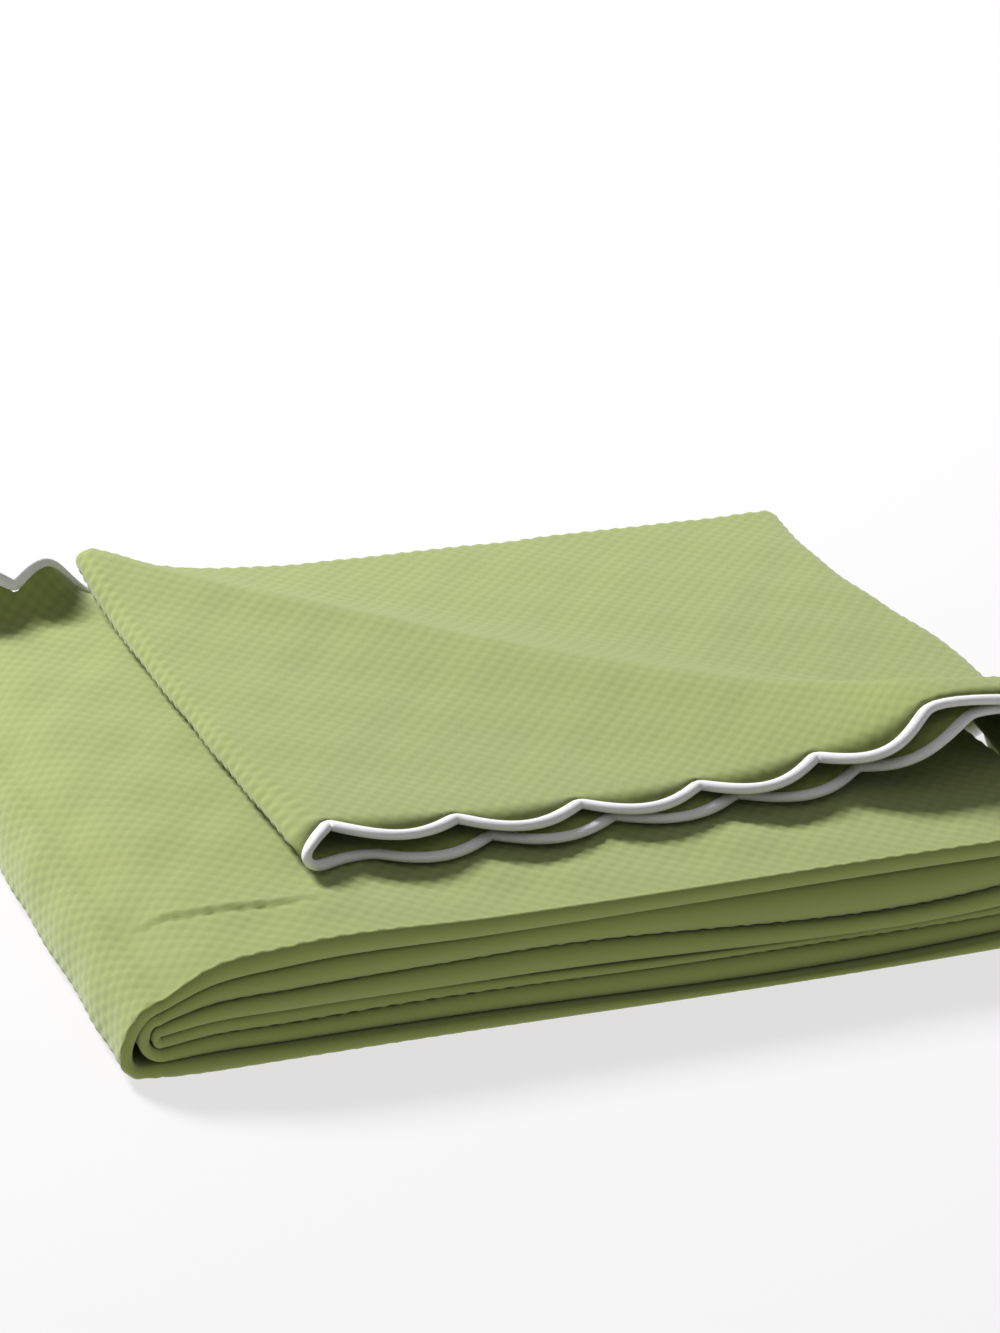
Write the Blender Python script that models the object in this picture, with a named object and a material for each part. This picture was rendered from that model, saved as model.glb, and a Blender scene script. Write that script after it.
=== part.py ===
"""A folded matelasse coverlet with a scalloped, piped hem.

The cloth is one solid. It is doubled over its front edge, and the doubled strip is folded back and
forth in six bands, which wrap round one another at the left. At the right the top ply of the upper
band turns up and over the pack as a flap of two plies, which is folded again at its left end.
Metres, +Z up: X runs along the front edge, Y goes to the back, the pack rests on Z = 0.
"""

from math import cos, pi, radians, sin, sqrt

import bmesh
import bpy
import numpy as np

MM = 0.001

# Cloth and piping
PLY = 2.3 * MM
BAND_GAP = 0.8 * MM
LEAST_HOLLOW = 0.6 * MM
PIPING_RADIUS = 2.1 * MM
PIPING_SIDES = 6
SEAM_GAP = 0.3 * MM

# Scalloped hem
SCALLOP_PITCH = 50.8 * MM
SCALLOP_DEPTH = 13.5 * MM
SCALLOP_STEPS = 6

# Pack of six bands: the heights of the front folds at stations along X, in millimetres
PACK_DEPTH = 386 * MM
PANEL_X = np.array((16, 32, 66, 142, 346, 380)) * MM
BAND_HEIGHT = {
    1: (5.0, 7.6, 8.7, 7.6, 7.1, 7.2),
    2: (4.8, 6.8, 9.1, 9.0, 13.4, 8.8),
    3: (4.6, 6.0, 7.2, 9.5, 6.9, 8.8),
    4: (4.8, 5.4, 6.1, 4.4, 3.7, 4.8),
    5: (5.4, 6.5, 6.8, 8.2, 7.9, 7.0),
    6: (5.9, 6.2, 5.7, 4.9, 4.6, 7.0),
}
# How far each band's front fold stands back, and the length of its slow wave, in millimetres
BAND_FRONT = {1: (1.0, 300), 2: (2.0, 210), 3: (1.0, 260), 4: (2.6, 180), 5: (1.2, 240), 6: (-2.6, 330)}
FRONT_WAVE = 0.9 * MM
PANEL_START = 16 * MM
PANEL_END = 388 * MM
PANEL_STEPS = 14
# Left turns: reach beyond the panels' start, how low the bulge sits, how much the doubled strip thins
LEFT_TURN = {(4, 3): (3.0, 1.0, 1.2), (2, 5): (7.4, 1.0, 0.9), (6, 1): (14.0, 1.84, 0.6)}
TURN_STEPS = 7

# Columns of the doubled strip, as Y of each ply's rows
PLUS_ROWS = np.array((34, 78, 150, 230, 310, 362)) * MM
PLUS_TAIL = (0.3, 0.65)
HEM_RIM = 0.9
MINUS_ROWS = np.array((130, 260)) * MM
FLAP_ROW = 2
CREASE_ANGLES = (45, 0, -45)

# Hem of the top ply at the back, which curls up at the left
BACK_HEM_CUSP = 4.0 * MM
BACK_HEM_OPEN = 389 * MM
BACK_HEM_COVERED = 371 * MM
BACK_HEM_CHANGE = (95 * MM, 135 * MM)
BACK_PIPING_END = 380 * MM
BACK_HEM_RISE = (6 * MM, 34 * MM)
CURL_START = 362 * MM
CURL_REACH = 40 * MM
CURL_ANGLE = radians(86)
CURL_FADE_LEFT = (8 * MM, 34 * MM)
CURL_FADE_RIGHT = (60 * MM, 94 * MM)

# Flap: its right shoulder as rows of Y and X, and the cusps of its hem as rows of X and Y, in millimetres
SHOULDER = ((60, 391), (78, 392), (110, 402), (145, 410), (321, 411), (370, 416), (390, 419))
FOLD_X = 96 * MM
FOLD_REACH = 7.4 * MM
LOWER_HEM = ((112, 68), (164, 68), (215, 71), (268, 76), (321, 77), (370, 77))
UPPER_HEM = ((101, 78), (151, 73), (202, 75), (252, 76), (302, 77), (350, 76))
FLAP_BACK = 387 * MM
TIP_BACK = 15 * MM
TIP_WIDTH = 34 * MM
REST_HEIGHT = 46.2 * MM
PLY_PITCH = 3.2 * MM
HEM_EXTRA = 1.6 * MM
HEM_EXTRA_WIDTH = 30 * MM
ROLL_EXTRA = 5.6 * MM
ROLL_WIDTH = 78 * MM
ROLL_LENGTH = 130 * MM
ROLL_LEAST = 0.45
HEM_Y = 78 * MM
# Ridge across the flap, from the raised back corner to the raised front hem: X, Y, height
RIDGE = (
    (84, 412, 12.5), (136, 345, 10.0), (174, 303, 9.5), (223, 245, 9.0), (275, 186, 9.5),
    (330, 122, 15.5), (352, 95, 23.0), (392, 80, 23.5), (440, 70, 22.0),
)
RIDGE_SLANT = 0.62
RIDGE_FRONT_WIDTH = 70 * MM
RIDGE_BACK_WIDTH = 22 * MM
LIFT_START = 268 * MM
LIFT_END = 386 * MM
LOWER_LIFT = 0.92
TIP_LIFT = 7.5 * MM
FLAP_COLUMNS = (0.0, 0.07, 0.15, 0.24, 0.33, 0.42, 0.51, 0.60, 0.69, 0.78, 0.87, 0.95, 1.0)
RIM_INSET = 6 * MM
RIM_LINE = 2.5 * MM
RIM_OVER = 4 * MM
FLAP_START = 0.5
LEAST_REACH = 2 * MM
MOST_REACH = 9 * MM
OVER_LENGTH = 40 * MM
OVER_HEM = 20 * MM
OVER_RIM = 12 * MM
HIDDEN_CUSP = 1.25
CORNER_CUSP = 14.5 * MM
CORNER_RADIUS = 24 * MM
CORNER_BULGE = 4 * MM
CORNER_STEPS = 4
FOLD_STEPS = 6
LOWER_STEPS = 13
UPPER_STEPS = 14

GREEN = (0.36, 0.43, 0.17, 1.0)
WHITE = (0.86, 0.85, 0.88, 1.0)


def smoothstep(low, high, value):
    t = min(max((value - low) / (high - low), 0.0), 1.0)
    return t * t * (3 - 2 * t)


def rounded(xs, ys, x):
    """A curve through the points (xs, ys) without corners, level with the first and last points."""
    x = min(max(x, xs[0]), xs[-1])
    slopes = np.gradient(ys, xs)
    i = min(int(np.searchsorted(xs, x, side="right")) - 1, len(xs) - 2)
    width = xs[i + 1] - xs[i]
    t = (x - xs[i]) / width
    start = ys[i] * (1 + 2 * t) * (1 - t) ** 2 + slopes[i] * width * t * (1 - t) ** 2
    return start + ys[i + 1] * t * t * (3 - 2 * t) + slopes[i + 1] * width * t * t * (t - 1)


def table(rows, column, at):
    """Read a column of a short table of millimetres at a place given in metres."""
    data = np.array(rows, dtype=float) * MM
    return rounded(data[:, 0], data[:, column], at)


# The doubled strip

def band_height(band, x):
    return rounded(PANEL_X, np.array(BAND_HEIGHT[band]) * MM, x)


def band_centre(band, x):
    below = sum(band_height(other, x) for other in BAND_HEIGHT if other > band)
    return below + (band_height(band, x) - BAND_GAP) / 2


def band_front(band, x):
    setback, wave = BAND_FRONT[band]
    calm = smoothstep(0, 40 * MM, x) * smoothstep(0, 30 * MM, PANEL_END - x)
    return (setback * MM + FRONT_WAVE * sin(2 * pi * x / (wave * MM) + band)) * calm


def station(band, x, heading):
    """One place along the strip: its centre, the side that counts as plus, and its thickness."""
    return {
        "x": x, "z": band_centre(band, x), "side": (0.0, float(heading)), "front": band_front(band, x),
        "thick": band_height(band, x) - BAND_GAP, "top": band == 1,
    }


def panel(band, heading):
    """The stations of one band, along X or back."""
    ends = (PANEL_START, PANEL_END) if heading > 0 else (PANEL_END, PANEL_START)
    shares = [0.5 - 0.5 * cos(pi * k / PANEL_STEPS) for k in range(PANEL_STEPS + 1)]
    places = [ends[0] + (ends[1] - ends[0]) * share for share in shares]
    return [station(band, x, heading) for x in places]


def turn(first, second, x, reach, skew, thin):
    """The stations between two bands, round a half turn that reaches beyond x."""
    low, high = (first, second) if first > second else (second, first)
    z_low, z_high = band_centre(low, x), band_centre(high, x)
    thick = (band_height(first, x) - BAND_GAP, band_height(second, x) - BAND_GAP)
    stations = []
    for k in range(1, TURN_STEPS):
        angle = pi * k / TURN_STEPS
        climb = angle if low == first else pi - angle
        share = (1 - cos(climb)) / 2
        along_x = reach * cos(angle)
        along_z = (z_high - z_low) * skew * share ** (skew - 1) * sin(climb) / 2
        if low != first:
            along_z = -along_z
        length = sqrt(along_x ** 2 + along_z ** 2)
        stations.append({
            "x": x + reach * sin(angle), "z": z_low + (z_high - z_low) * share ** skew,
            "side": (-along_z / length, along_x / length), "front": 0.0, "top": False,
            "thick": thick[0] + (thick[1] - thick[0]) * k / TURN_STEPS - thin * sin(angle),
        })
    return stations


def left_turn(first, second):
    reach, skew, thin = LEFT_TURN[(first, second)]
    return turn(first, second, PANEL_START, -reach * MM, skew, thin * MM)


def right_turn(first, second):
    reach = abs(band_centre(first, PANEL_END) - band_centre(second, PANEL_END)) / 2
    return turn(first, second, PANEL_END, reach, 1.0, 0.0)


def strip_stations():
    return (
        panel(4, -1) + left_turn(4, 3) + panel(3, 1) + right_turn(3, 2) + panel(2, -1)
        + left_turn(2, 5) + panel(5, 1) + right_turn(5, 6) + panel(6, -1) + left_turn(6, 1) + panel(1, 1)
    )


def strip_point(place, y, offset):
    return np.array((place["x"] + offset * place["side"][0], y, place["z"] + offset * place["side"][1]))


def ply_thickness(place):
    return min(PLY, (place["thick"] - LEAST_HOLLOW) / 2)


def cusp_line(place):
    """Y along the cloth of the plus ply's back edge, without its scallops."""
    if not place["top"]:
        return PACK_DEPTH
    covered = smoothstep(*BACK_HEM_CHANGE, place["x"])
    return BACK_HEM_OPEN + (BACK_HEM_COVERED - BACK_HEM_OPEN) * covered


def rim_line(place):
    """Y along the cloth of the row just before the cusps."""
    return CURL_START + (cusp_line(place) - CURL_START) * HEM_RIM


def back_edge(place):
    """Y along the cloth of the plus ply's back edge, scalloped on the top band."""
    if not place["top"]:
        return PACK_DEPTH
    x = place["x"]
    scallop = SCALLOP_DEPTH * abs(sin(pi * (x - BACK_HEM_CUSP) / SCALLOP_PITCH))
    blend = smoothstep(*BACK_HEM_RISE, x)
    return PACK_DEPTH + (cusp_line(place) + scallop - PACK_DEPTH) * blend


def plus_frame(place, along):
    """Middle of the plus ply at a length along the cloth, and its tilt where the hem curls up."""
    middle = (place["thick"] - ply_thickness(place)) / 2
    if not place["top"] or along <= CURL_START:
        return along, middle, 0.0
    x = place["x"]
    strength = smoothstep(*CURL_FADE_LEFT, x) * (1 - smoothstep(*CURL_FADE_RIGHT, x))
    bend = CURL_ANGLE * strength / CURL_REACH
    if bend < 1e-6:
        return along, middle, 0.0
    tilt = bend * (along - CURL_START)
    return CURL_START + sin(tilt) / bend, middle + (1 - cos(tilt)) / bend, tilt


def plus_point(place, along, face):
    """A point of the plus ply: face is 1 on its outer side and -1 on its inner side."""
    y, offset, tilt = plus_frame(place, along)
    half = face * ply_thickness(place) / 2
    return strip_point(place, y - half * sin(tilt), offset + half * cos(tilt))


def strip_chain(place):
    """The outline of the doubled strip at a station, from the plus ply's outer to its inner row."""
    half = place["thick"] / 2
    ply = ply_thickness(place)
    hollow = half - ply
    crease = place["front"] + half
    tail = [CURL_START + (cusp_line(place) - CURL_START) * share for share in PLUS_TAIL]
    plus_rows = [crease] + list(PLUS_ROWS) + tail
    minus_rows = [crease] + list(MINUS_ROWS) + [PACK_DEPTH]
    chain = [plus_point(place, y, 1) for y in reversed(plus_rows)]
    chain += [strip_point(place, crease - half * cos(radians(a)), half * sin(radians(a)))
              for a in CREASE_ANGLES]
    chain += [strip_point(place, y, -half) for y in minus_rows]
    chain += [strip_point(place, y, -hollow) for y in reversed(minus_rows)]
    chain += [strip_point(place, crease - hollow, 0.0)]
    chain += [plus_point(place, y, -1) for y in plus_rows]
    return chain


# The flap

def shoulder(y):
    return table(SHOULDER, 1, y)


def ridge_lift(x, y):
    """How high the ridge lifts the flap's top ply."""
    away = (y - table(RIDGE, 1, x)) * RIDGE_SLANT
    width = RIDGE_BACK_WIDTH if away > 0 else RIDGE_FRONT_WIDTH
    return table(RIDGE, 2, x) * np.exp(-(away / width) ** 2)


def tip_share(x, y):
    return np.exp(-((x - FOLD_X) / TIP_WIDTH) ** 2) * smoothstep(330 * MM, 405 * MM, y)


def lower_height(x, y):
    lift = LOWER_LIFT * ridge_lift(x, y) * smoothstep(LIFT_START, LIFT_END, x)
    return REST_HEIGHT + lift + TIP_LIFT * tip_share(x, y)


def upper_height(x, y):
    near_hem = np.exp(-((y - HEM_Y) / HEM_EXTRA_WIDTH) ** 2)
    towards_hem = ROLL_LEAST + (1 - ROLL_LEAST) * np.exp(-((y - HEM_Y) / ROLL_LENGTH) ** 2)
    roll = ROLL_EXTRA * np.exp(-((x - FOLD_X) / ROLL_WIDTH) ** 2) * towards_hem
    return REST_HEIGHT + PLY_PITCH + HEM_EXTRA * near_hem + roll + ridge_lift(x, y)


def top_ply_height():
    place = station(1, PANEL_END, 1)
    return place["z"] + (place["thick"] - ply_thickness(place)) / 2


def flap_point(s, y):
    """The middle of the flap's cloth. s counts its stretches: under, right turn, lower ply, left
    fold, upper ply and the part that hangs over the right side."""
    right = shoulder(y)
    base = top_ply_height()
    low, high = lower_height(right, y), upper_height(right, y)
    turn_reach = min(max((low - base) * 0.4, LEAST_REACH), MOST_REACH)
    if s < 1:
        return np.array((PANEL_END + (right - PANEL_END) * s, y, base))
    if s < 2:
        angle = pi * (s - 1)
        return np.array((right + turn_reach * sin(angle), y, base + (low - base) * (1 - cos(angle)) / 2))
    if s < 3:
        x = right + (FOLD_X - right) * (s - 2)
        return np.array((x, y, lower_height(x, y)))
    if s < 4:
        angle = pi * (s - 3)
        near, far = lower_height(FOLD_X, y), upper_height(FOLD_X, y)
        return np.array((FOLD_X - FOLD_REACH * sin(angle), y, near + (far - near) * (1 - cos(angle)) / 2))
    if s < 5:
        x = FOLD_X + (right - FOLD_X) * (s - 4)
        return np.array((x, y, upper_height(x, y)))
    reach = turn_reach + max(high - low, PLY_PITCH)
    centre = (base + low) / 2
    rise = high - centre
    quarter = pi / 2 * sqrt((reach ** 2 + rise ** 2) / 2)
    length = (s - 5) * OVER_LENGTH
    if length < quarter:
        angle = pi / 2 * length / quarter
        return np.array((right + reach * sin(angle), y, centre + rise * cos(angle)))
    return np.array((right + reach, y, centre - (length - quarter)))


def flap_normal(s, y):
    step_s, step_y = 0.004, 0.2 * MM
    along = flap_point(s + step_s, y) - flap_point(max(s - step_s, 0), y)
    across = flap_point(s, y + step_y) - flap_point(s, y - step_y)
    normal = np.cross(along, across)
    return normal / np.linalg.norm(normal)


def hem_place(x, upper):
    """The stretch number of a place on the lower or upper ply, at the hem."""
    share = (x - FOLD_X) / (shoulder(HEM_Y) - FOLD_X)
    return 4 + share if upper else 3 - share


def hem_line(s):
    """Y of the hem's cusps along the flap."""
    right = shoulder(HEM_Y)
    start, end = LOWER_HEM[0][1] * MM, UPPER_HEM[0][1] * MM
    if s < 3:
        return table(LOWER_HEM, 1, FOLD_X + (right - FOLD_X) * min(3 - s, 1))
    if s < 4:
        return start + (end - start) * (s - 3)
    return table(UPPER_HEM, 1, FOLD_X + (right - FOLD_X) * min(s - 4, 1))


def flap_back(s):
    """Y of the flap's back edge, drawn out at the raised corner."""
    x = flap_point(s, FLAP_BACK)[0]
    return FLAP_BACK + TIP_BACK * np.exp(-((x - FOLD_X) / TIP_WIDTH) ** 2)


def cusp_places():
    lower = [hem_place(x * MM, False) for x, _ in LOWER_HEM]
    upper = [hem_place(x * MM, True) for x, _ in UPPER_HEM]
    return [HIDDEN_CUSP] + lower[::-1] + upper + [5 + CORNER_CUSP / OVER_LENGTH]


def flap_outline():
    """The hem as (stretch, Y, order) from the right turn round the loop to the back right corner,
    and the line of (stretch, Y) just behind its cusps, in the same steps."""
    cusps = cusp_places()
    outline = [(s, hem_line(s), s) for s in (FLAP_START, 0.75, 1.0)]
    for first, second in zip(cusps, cusps[1:]):
        for k in range(SCALLOP_STEPS):
            t = k / SCALLOP_STEPS
            s = first + (second - first) * t
            outline.append((s, hem_line(s) - SCALLOP_DEPTH * sin(pi * t), s))
    rim = [(s, hem_line(s) + RIM_LINE) for s, _, _ in outline]
    corner_s, line = cusps[-1], hem_line(5)
    end_s = 5 + OVER_HEM / OVER_LENGTH
    over_s = end_s - RIM_OVER / OVER_LENGTH
    first_cusp = line + CORNER_RADIUS
    for k in range(CORNER_STEPS):
        t = k / CORNER_STEPS
        y = line + CORNER_RADIUS * (1 - sqrt(1 - t * t)) - CORNER_BULGE * sin(pi * t)
        s = corner_s + (end_s - corner_s) * sin(pi / 2 * t)
        outline.append((s, y, 5.4 + t / 2))
        rim.append((corner_s + (over_s - corner_s) * t, line + RIM_LINE + (CORNER_RADIUS - RIM_LINE) * t))
    step = SCALLOP_PITCH / SCALLOP_STEPS
    count = int((FLAP_BACK - first_cusp) / step)
    for k in range(count + 1):
        y = first_cusp + (FLAP_BACK - first_cusp) * k / count
        depth = SCALLOP_DEPTH * abs(sin(pi * (y - first_cusp) / SCALLOP_PITCH))
        outline.append((end_s + depth / OVER_LENGTH, y, 6 + y))
        rim.append((over_s, y))
    return outline, rim


def flap_stations():
    turns = [1 + k / FOLD_STEPS for k in range(FOLD_STEPS + 1)]
    lower = [2 + k / LOWER_STEPS for k in range(1, LOWER_STEPS)]
    fold = [3 + k / FOLD_STEPS for k in range(FOLD_STEPS + 1)]
    upper = [4 + k / UPPER_STEPS for k in range(1, UPPER_STEPS)]
    over = [5 + share * OVER_RIM / OVER_LENGTH for share in (0, 0.5, 1)]
    return [FLAP_START] + turns + lower + fold + upper + over


def flap_column(s, share):
    front = hem_line(s) + RIM_INSET
    return front + (flap_back(s) - front) * share


# Mesh building

def add_faces(bm, rows):
    """Quads between neighbouring rows of vertices of the same length."""
    for a, b in zip(rows, rows[1:]):
        for i in range(len(a) - 1):
            bm.faces.new((a[i], a[i + 1], b[i + 1], b[i]))


def zip_rows(bm, first, first_order, second, second_order):
    """Triangles between two rows of different lengths, taken in the order of their places."""
    i = j = 0
    while i < len(first) - 1 or j < len(second) - 1:
        step_first = j == len(second) - 1 or (
            i < len(first) - 1 and first_order[i + 1] <= second_order[j + 1])
        if step_first:
            bm.faces.new((first[i], first[i + 1], second[j]))
            i += 1
        else:
            bm.faces.new((first[i], second[j + 1], second[j]))
            j += 1


def add_points(bm, points):
    return [bm.verts.new(tuple(p)) for p in points]


def crease_cap(bm, chain, plus_count, minus_count, kept_plus):
    """Close one end of the doubled strip. kept_plus is the number of plus rows that are closed."""
    arc = len(CREASE_ANGLES)
    outer = chain[:plus_count][::-1]
    bend = chain[plus_count:plus_count + arc]
    minus_outer = chain[plus_count + arc:plus_count + arc + minus_count]
    minus_inner = chain[plus_count + arc + minus_count:plus_count + arc + 2 * minus_count][::-1]
    pocket = chain[plus_count + arc + 2 * minus_count]
    inner = chain[-plus_count:]
    for j in range(kept_plus - 1):
        bm.faces.new((outer[j], outer[j + 1], inner[j + 1], inner[j]))
    for j in range(minus_count - 1):
        bm.faces.new((minus_outer[j], minus_outer[j + 1], minus_inner[j + 1], minus_inner[j]))
    bm.faces.new((outer[0], bend[0], pocket, inner[0]))
    for j in range(arc - 1):
        bm.faces.new((bend[j], bend[j + 1], pocket))
    bm.faces.new((bend[-1], minus_outer[0], minus_inner[0], pocket))


def back_hem_places(stations):
    """Stations along the plus ply's back edge, closer together where it is scalloped."""
    places = []
    for order, place in enumerate(stations):
        places.append((order, place))
        if not place["top"] or order + 1 == len(stations):
            continue
        x, end = place["x"], stations[order + 1]["x"]
        step = SCALLOP_PITCH / SCALLOP_STEPS
        k = int(np.ceil((x - BACK_HEM_CUSP) / step + 0.35))
        while BACK_HEM_CUSP + k * step < end - 0.35 * step:
            between = BACK_HEM_CUSP + k * step
            places.append((order + (between - x) / (end - x), station(1, between, 1)))
            k += 1
    return places


def build_strip(bm):
    """The doubled strip. Returns the open rows at its right end, where the flap goes on."""
    stations = strip_stations()
    chains = [add_points(bm, strip_chain(place)) for place in stations]
    add_faces(bm, chains)
    plus_count, minus_count = len(PLUS_ROWS) + len(PLUS_TAIL) + 1, len(MINUS_ROWS) + 2
    hem = back_hem_places(stations)
    orders = [order for order, _ in hem]
    outer = add_points(bm, [plus_point(place, back_edge(place), 1) for _, place in hem])
    inner = add_points(bm, [plus_point(place, back_edge(place), -1) for _, place in hem])
    outer_rim = add_points(bm, [plus_point(place, rim_line(place), 1) for _, place in hem])
    inner_rim = add_points(bm, [plus_point(place, rim_line(place), -1) for _, place in hem])
    strip_orders = list(range(len(stations)))
    zip_rows(bm, [chain[0] for chain in chains], strip_orders, outer_rim, orders)
    zip_rows(bm, inner_rim, orders, [chain[-1] for chain in chains], strip_orders)
    add_faces(bm, [outer_rim, outer, inner, inner_rim])
    crease_cap(bm, chains[0], plus_count, minus_count, plus_count)
    bm.faces.new((chains[0][0], outer_rim[0], inner_rim[0], chains[0][-1]))
    bm.faces.new((outer_rim[0], outer[0], inner[0], inner_rim[0]))
    crease_cap(bm, chains[-1], plus_count, minus_count, FLAP_ROW + 1)
    last = chains[-1]
    open_outer = last[:plus_count - FLAP_ROW][::-1] + [outer_rim[-1], outer[-1]]
    open_inner = last[-(plus_count - FLAP_ROW):] + [inner_rim[-1], inner[-1]]
    return open_outer, open_inner


def flap_surface(s, y, face):
    return flap_point(s, y) + flap_normal(s, y) * (face * PLY / 2)


def build_flap(bm, open_outer, open_inner):
    """The two plies of the flap, from the strip's open rows to the hem that hangs at the right."""
    stations = flap_stations()
    outline, rim_places = flap_outline()
    outline_orders = [order for _, _, order in outline]
    rim_orders = stations + [6 + flap_column(stations[-1], share) for share in FLAP_COLUMNS[1:]]
    for face, opening in ((1, open_outer), (-1, open_inner)):
        rows = [add_points(bm, [flap_surface(s, flap_column(s, share), face) for share in FLAP_COLUMNS])
                for s in stations]
        add_faces(bm, rows)
        edge = add_points(bm, [flap_surface(s, y, face) for s, y, _ in outline])
        fine_rim = add_points(bm, [flap_surface(s, y, face) for s, y in rim_places])
        coarse_rim = [row[0] for row in rows] + rows[-1][1:]
        zip_rows(bm, coarse_rim, rim_orders, fine_rim, outline_orders)
        add_faces(bm, [fine_rim, edge])
        start = [edge[0], fine_rim[0]] + rows[0]
        zip_rows(bm, opening, [v.co.y for v in opening], start, [v.co.y for v in start])
        back = [opening[-1]] + [row[-1] for row in rows] + [fine_rim[-1], edge[-1]]
        front = [opening[0]] + edge
        if face == 1:
            outer_back, outer_front = back, front
    add_faces(bm, [outer_back, back])
    add_faces(bm, [outer_front, front])


def finish_mesh(bm, name, colour, roughness):
    """Turn the faces outwards, triangulate and make the object with its material."""
    bmesh.ops.recalc_face_normals(bm, faces=bm.faces)
    bmesh.ops.triangulate(bm, faces=bm.faces)
    mesh = bpy.data.meshes.new(name)
    bm.to_mesh(mesh)
    bm.free()
    mesh.shade_smooth()
    material = bpy.data.materials.new(name)
    material.use_nodes = True
    shader = material.node_tree.nodes["Principled BSDF"]
    shader.inputs["Base Color"].default_value = colour
    shader.inputs["Roughness"].default_value = roughness
    mesh.materials.append(material)
    piece = bpy.data.objects.new(name, mesh)
    bpy.context.scene.collection.objects.link(piece)
    return piece


def sweep(bm, path, sides, radius):
    """A round cord along a path, closed at both ends."""
    path = np.array(path)
    tangents = np.gradient(path, axis=0)
    tangents /= np.linalg.norm(tangents, axis=1)[:, None]
    across = np.cross(tangents[0], (0.0, 0.0, 1.0))
    rings = []
    for centre, tangent in zip(path, tangents):
        across = across - tangent * np.dot(across, tangent)
        across /= np.linalg.norm(across)
        other = np.cross(tangent, across)
        angles = [2 * pi * k / sides for k in range(sides)]
        rings.append(add_points(bm, [centre + radius * (cos(a) * across + sin(a) * other) for a in angles]))
    for a, b in zip(rings, rings[1:]):
        for k in range(sides):
            bm.faces.new((a[k], a[(k + 1) % sides], b[(k + 1) % sides], b[k]))
    bm.faces.new(rings[0])
    bm.faces.new(rings[-1])


def beside(edge, normals, distance):
    """Move a line of points outwards in the cloth's own surface, mitred at the cusps."""
    edge = np.array(edge)
    before = np.diff(edge, axis=0, prepend=2 * edge[:1] - edge[1:2])
    after = np.diff(edge, axis=0, append=2 * edge[-1:] - edge[-2:-1])
    before /= np.linalg.norm(before, axis=1)[:, None]
    after /= np.linalg.norm(after, axis=1)[:, None]
    tangents = before + after
    tangents /= np.linalg.norm(tangents, axis=1)[:, None]
    miter = 1 / np.maximum(np.sum(tangents * after, axis=1), 0.6)
    outward = np.cross(tangents, normals)
    outward /= np.linalg.norm(outward, axis=1)[:, None]
    return edge + outward * (distance * miter)[:, None]


def flap_piping():
    """The piping of the flap's hem, from the right turn round the loop and along the right end."""
    bm = bmesh.new()
    places = [(s, y) for s, y, _ in flap_outline()[0][4:]]
    edge = [flap_point(s, y) for s, y in places]
    normals = [flap_normal(s, y) for s, y in places]
    sweep(bm, beside(edge, normals, PIPING_RADIUS + SEAM_GAP), PIPING_SIDES, PIPING_RADIUS)
    return finish_mesh(bm, "flap_hem_piping", WHITE, 0.8)


def back_piping():
    """The piping of the top ply's back hem."""
    bm = bmesh.new()
    places = [place for _, place in back_hem_places(strip_stations())
              if place["top"] and BACK_HEM_RISE[1] < place["x"] < BACK_PIPING_END]
    edge, normals = [], []
    for place in places:
        y, offset, tilt = plus_frame(place, back_edge(place))
        edge.append(strip_point(place, y, offset))
        normals.append((0.0, sin(tilt), -cos(tilt)))
    sweep(bm, beside(edge, normals, PIPING_RADIUS + SEAM_GAP), PIPING_SIDES, PIPING_RADIUS)
    return finish_mesh(bm, "back_hem_piping", WHITE, 0.8)


def coverlet():
    bm = bmesh.new()
    open_outer, open_inner = build_strip(bm)
    build_flap(bm, open_outer, open_inner)
    return finish_mesh(bm, "coverlet", GREEN, 0.9)


def centre_on_floor(pieces):
    """Put the origin under the middle of the whole, on the surface that it rests on."""
    points = np.array([v.co for piece in pieces for v in piece.data.vertices])
    low, high = points.min(axis=0), points.max(axis=0)
    shift = np.array(((low[0] + high[0]) / 2, (low[1] + high[1]) / 2, low[2]))
    for piece in pieces:
        for v in piece.data.vertices:
            v.co = np.array(v.co) - shift


def main():
    for old in list(bpy.data.objects):
        bpy.data.objects.remove(old, do_unlink=True)
    centre_on_floor([coverlet(), flap_piping(), back_piping()])


main()
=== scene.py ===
"""Looks of the folded matelasse coverlet: its cloth with raised diamonds, the piping of its hems, a
pale floor, soft studio light and the camera. Metres, +Z up, in the frame of the CAD model."""

from math import pi, radians

import bmesh
import bpy
import numpy as np
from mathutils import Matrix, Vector


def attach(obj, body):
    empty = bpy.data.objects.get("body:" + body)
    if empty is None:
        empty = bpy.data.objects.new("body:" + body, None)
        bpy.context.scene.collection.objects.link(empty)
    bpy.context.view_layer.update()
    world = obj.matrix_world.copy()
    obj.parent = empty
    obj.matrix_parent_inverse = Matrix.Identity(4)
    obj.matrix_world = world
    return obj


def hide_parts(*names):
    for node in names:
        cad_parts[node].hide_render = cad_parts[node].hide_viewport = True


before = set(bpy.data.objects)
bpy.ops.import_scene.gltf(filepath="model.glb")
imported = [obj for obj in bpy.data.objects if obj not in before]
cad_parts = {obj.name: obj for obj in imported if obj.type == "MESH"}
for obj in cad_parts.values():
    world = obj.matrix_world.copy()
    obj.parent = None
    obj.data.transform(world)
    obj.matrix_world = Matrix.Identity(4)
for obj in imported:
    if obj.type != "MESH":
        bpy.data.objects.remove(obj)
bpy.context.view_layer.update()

MM = 0.001

# The shapes are worked out from the pack's left front corner, and then moved by this much
SHIFT = np.array((213.125, 201.056, 0.0)) * MM

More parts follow.
